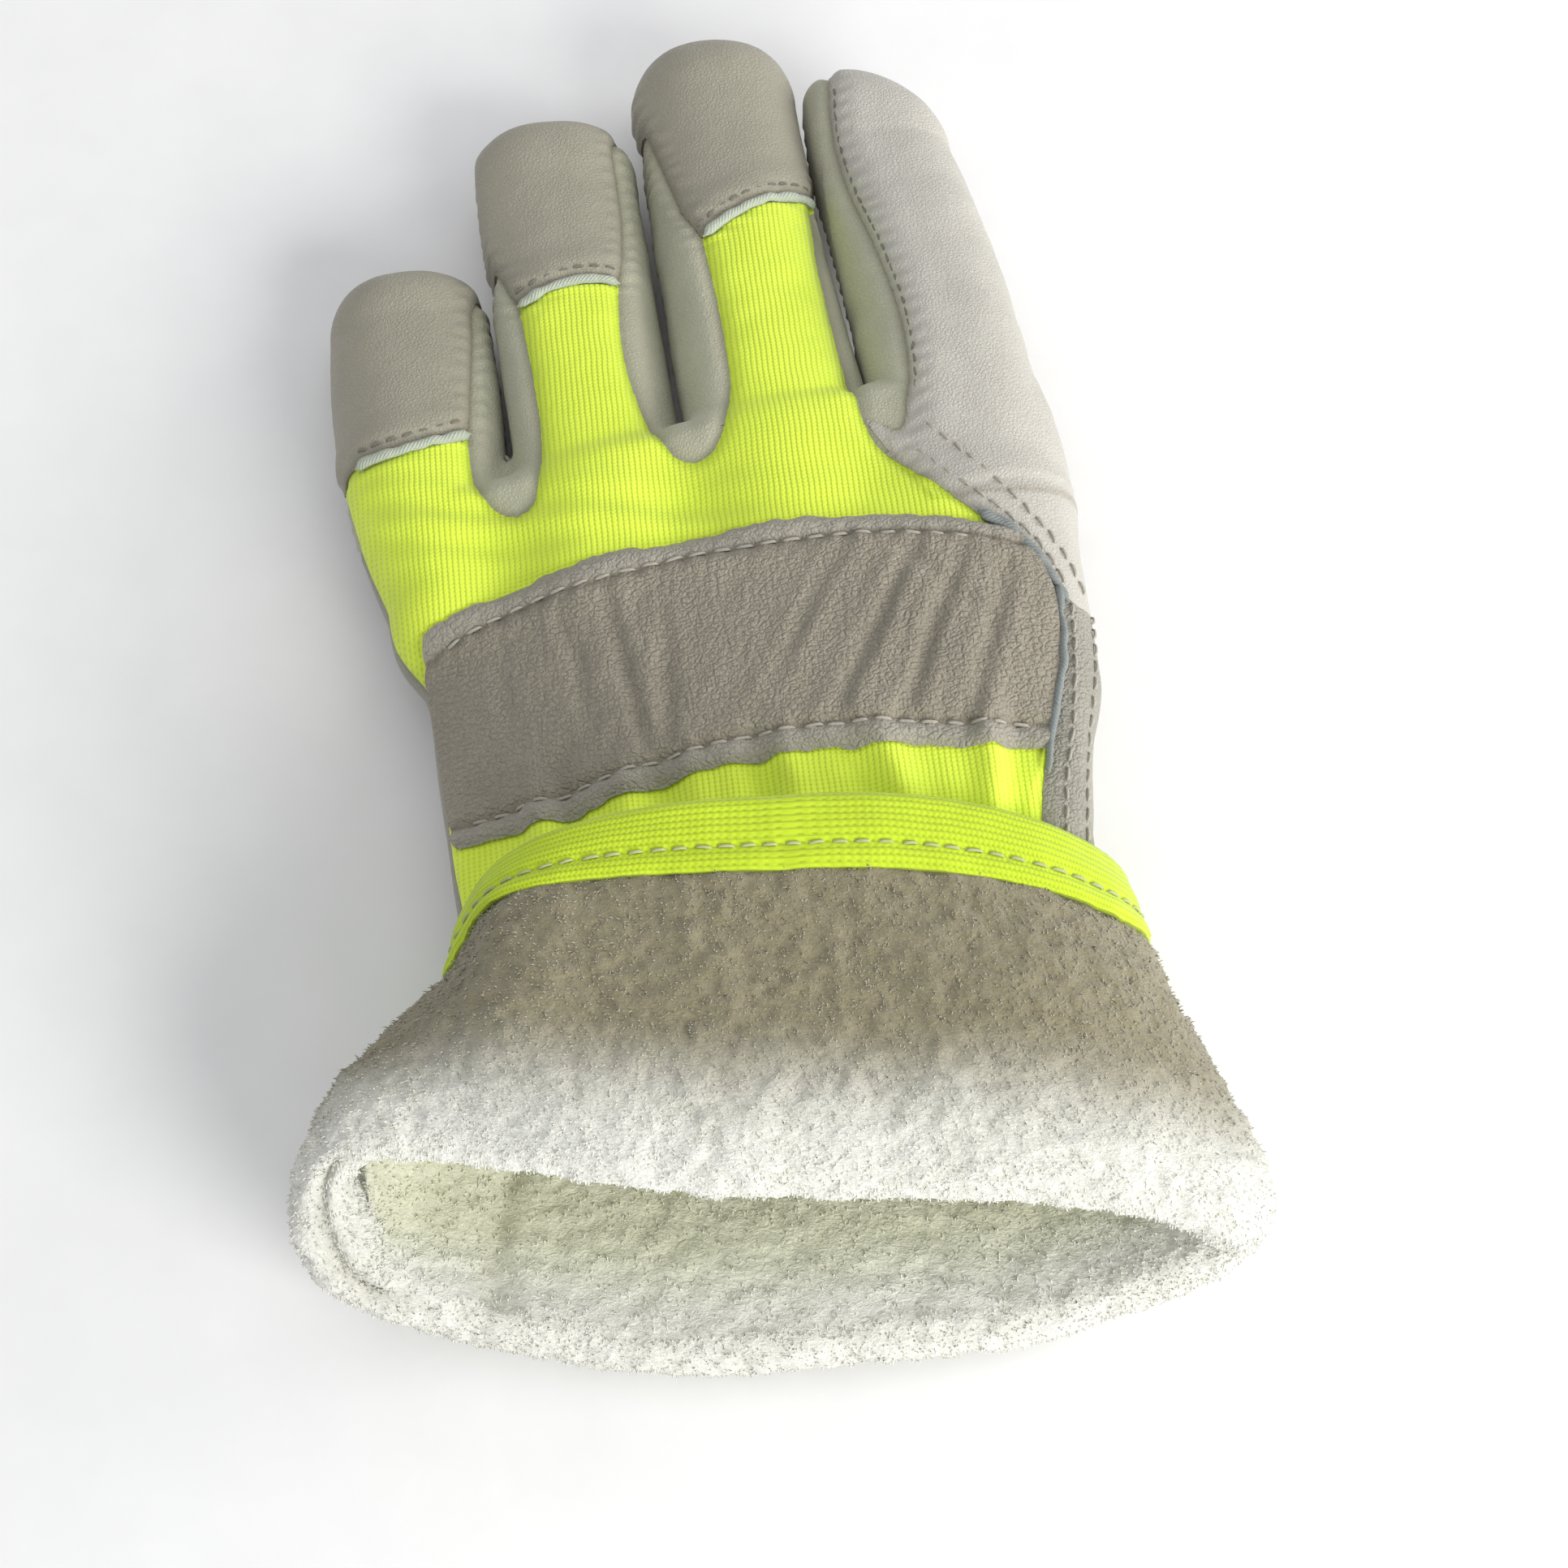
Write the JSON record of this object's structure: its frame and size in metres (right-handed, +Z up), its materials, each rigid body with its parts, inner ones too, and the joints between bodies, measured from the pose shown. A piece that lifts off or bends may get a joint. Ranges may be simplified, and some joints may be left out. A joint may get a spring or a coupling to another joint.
{
  "type": "fleece-lined work glove",
  "caption": "Left-hand winter work glove: leather palm and caps, knit back, knuckle strap and fleece lining, lying palm down with its cuff turned back.",
  "frame": {"origin": "under the middle of the bounding box, on the surface that the glove lies on", "axes": "+X from the little finger to the index finger, +Y from the wrist to the fingertips, +Z up out of the back of the hand"},
  "size_m": [0.1632, 0.269, 0.0602],
  "materials": {
    "palm_leather": "soft grain leather, warm grey-beige",
    "cap_leather": "fine-grained leather, warm grey-beige",
    "strap_leather": "pebbled, creased leather, grey-beige",
    "knit": "matte rib-knit, bright yellow-green",
    "binding_knit": "folded knit binding, bright yellow-green",
    "fleece": "curly pile fleece, off-white",
    "cuff_cloth": "woven cloth, grey",
    "raw_edge": "cut leather edge, pale grey",
    "thread": "sewing thread, pale grey-beige",
    "binding_thread": "sewing thread, beige-green",
    "elastic": "covered elastic, white"
  },
  "bodies": {
    "hand": {"back_panel": "knit", "binding_thread": "binding_thread", "cuff_binding": "binding_knit", "cuff_lining": "fleece", "cuff_shell": "cuff_cloth", "gusset_inner_thread": "thread", "gusset_outer_thread": "thread", "hand_lining": "fleece", "index_yoke": "palm_leather", "knuckle_strap": "strap_leather", "palm_panel": "palm_leather", "side_welt": "raw_edge", "strap_front_thread": "thread", "strap_rear_thread": "thread", "thumb_gusset": "palm_leather", "wrist_elastic": "elastic", "yoke_inner_thread": "thread", "yoke_outer_thread": "thread"},
    "little_finger": {"little_cap": "cap_leather", "little_cap_thread": "thread", "little_fourchette": "palm_leather", "little_front": "palm_leather", "little_lining": "fleece", "little_stall": "knit", "little_welt": "raw_edge"},
    "ring_finger": {"ring_cap": "cap_leather", "ring_cap_thread": "thread", "ring_fourchette_inner": "palm_leather", "ring_fourchette_outer": "palm_leather", "ring_front": "palm_leather", "ring_lining": "fleece", "ring_stall": "knit", "ring_welt": "raw_edge"},
    "middle_finger": {"middle_cap": "cap_leather", "middle_cap_thread": "thread", "middle_fourchette_inner": "palm_leather", "middle_fourchette_outer": "palm_leather", "middle_front": "palm_leather", "middle_lining": "fleece", "middle_stall": "knit", "middle_welt": "raw_edge"},
    "index_finger": {"index_back": "cap_leather", "index_fourchette": "palm_leather", "index_front": "palm_leather", "index_lining": "fleece", "index_seam_thread": "thread"},
    "thumb": {"thumb_back": "palm_leather", "thumb_front": "palm_leather", "thumb_lining": "fleece"}
  },
  "joints": [
    {"name": "little_knuckle", "type": "hinge", "parent": "hand", "child": "little_finger", "pos_m": [-0.05464, 0.02684, 0.0077], "axis": [-0.9962, -0.0872, 0], "range_deg": [0, 60]},
    {"name": "ring_knuckle", "type": "hinge", "parent": "hand", "child": "ring_finger", "pos_m": [-0.02364, 0.02956, 0.0114], "axis": [-0.9962, -0.0872, 0], "range_deg": [0, 60]},
    {"name": "middle_knuckle", "type": "hinge", "parent": "hand", "child": "middle_finger", "pos_m": [0.01056, 0.03255, 0.0151], "axis": [-0.9962, -0.0872, 0], "range_deg": [0, 60]},
    {"name": "index_knuckle", "type": "hinge", "parent": "hand", "child": "index_finger", "pos_m": [0.04396, 0.03547, 0.0199], "axis": [-0.9962, -0.0872, 0], "range_deg": [0, 60]},
    {"name": "thumb_swing", "type": "hinge", "parent": "hand", "child": "thumb", "pos_m": [0.04296, -0.02773, 0.0212], "axis": [0.2079, 0, -0.9781], "range_deg": [0, 60]}
  ]
}
